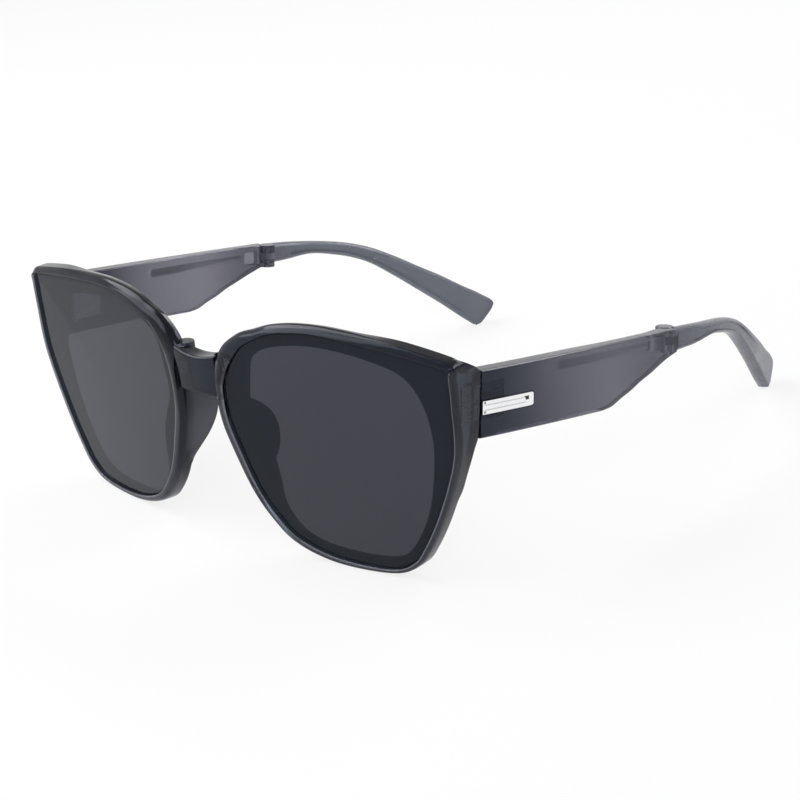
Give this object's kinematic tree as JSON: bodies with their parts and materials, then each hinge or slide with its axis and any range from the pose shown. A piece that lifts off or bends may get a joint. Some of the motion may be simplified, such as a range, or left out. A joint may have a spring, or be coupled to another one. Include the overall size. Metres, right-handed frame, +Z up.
{
  "type": "folding sunglasses",
  "caption": "Cat-eye folding sunglasses with tinted lenses, temples that fold behind the front and again at mid length, and a front that folds at the bridge.",
  "frame": {"origin": "on the surface that the glasses stand on, under the middle of their width and depth", "axes": "+X to the wearer's left, +Y from the front to the temple tips, +Z up"},
  "size_m": [0.15, 0.1429, 0.057],
  "materials": {
    "frame_plastic": "polished translucent smoke-grey plastic",
    "arm_plastic": "polished translucent grey plastic, lighter than the front",
    "lens_tint": "dark grey tinted lens, mirror smooth",
    "steel": "plain steel hinge parts",
    "silver_metal": "bright satin metal inlay"
  },
  "bodies": {
    "bridge": {"bridge_link": "frame_plastic"},
    "rim_left": {"rim_left": "frame_plastic", "lens_left": "lens_tint", "bridge_pin_left": "steel", "rim_hinge_left": "steel", "hinge_screw_left": "steel"},
    "temple_left": {"temple_front_left": "frame_plastic", "temple_hinge_left": "steel", "inlay_left": "silver_metal", "fold_pin_left": "steel"},
    "arm_left": {"temple_rear_left": "arm_plastic"},
    "rim_right": {"rim_right": "frame_plastic", "lens_right": "lens_tint", "bridge_pin_right": "steel", "rim_hinge_right": "steel", "hinge_screw_right": "steel"},
    "temple_right": {"temple_front_right": "frame_plastic", "temple_hinge_right": "steel", "inlay_right": "silver_metal", "fold_pin_right": "steel"},
    "arm_right": {"temple_rear_right": "arm_plastic"}
  },
  "joints": [
    {"name": "bridge_fold_left", "type": "hinge", "parent": "bridge", "child": "rim_left", "pos_m": [0.0073, -0.0669, 0.04154], "axis": [0, 0, 1], "range_deg": [0, 35]},
    {"name": "temple_fold_left", "type": "hinge", "parent": "rim_left", "child": "temple_left", "pos_m": [0.06932, -0.05245, 0.04117], "axis": [0, -0.1771, -0.9842], "range_deg": [-80, 0]},
    {"name": "rear_fold_left", "type": "hinge", "parent": "temple_left", "child": "arm_left", "pos_m": [0.07002, 0.01108, 0.03454], "axis": [0, 0.1771, 0.9842], "range_deg": [0, 145]},
    {"name": "bridge_fold_right", "type": "hinge", "parent": "bridge", "child": "rim_right", "pos_m": [-0.0073, -0.0669, 0.04154], "axis": [0, 0, -1], "range_deg": [0, 35]},
    {"name": "temple_fold_right", "type": "hinge", "parent": "rim_right", "child": "temple_right", "pos_m": [-0.06932, -0.05245, 0.04117], "axis": [0, 0.1771, 0.9842], "range_deg": [-68, 0]},
    {"name": "rear_fold_right", "type": "hinge", "parent": "temple_right", "child": "arm_right", "pos_m": [-0.07002, 0.01108, 0.03454], "axis": [0, -0.1771, -0.9842], "range_deg": [0, 145]}
  ]
}
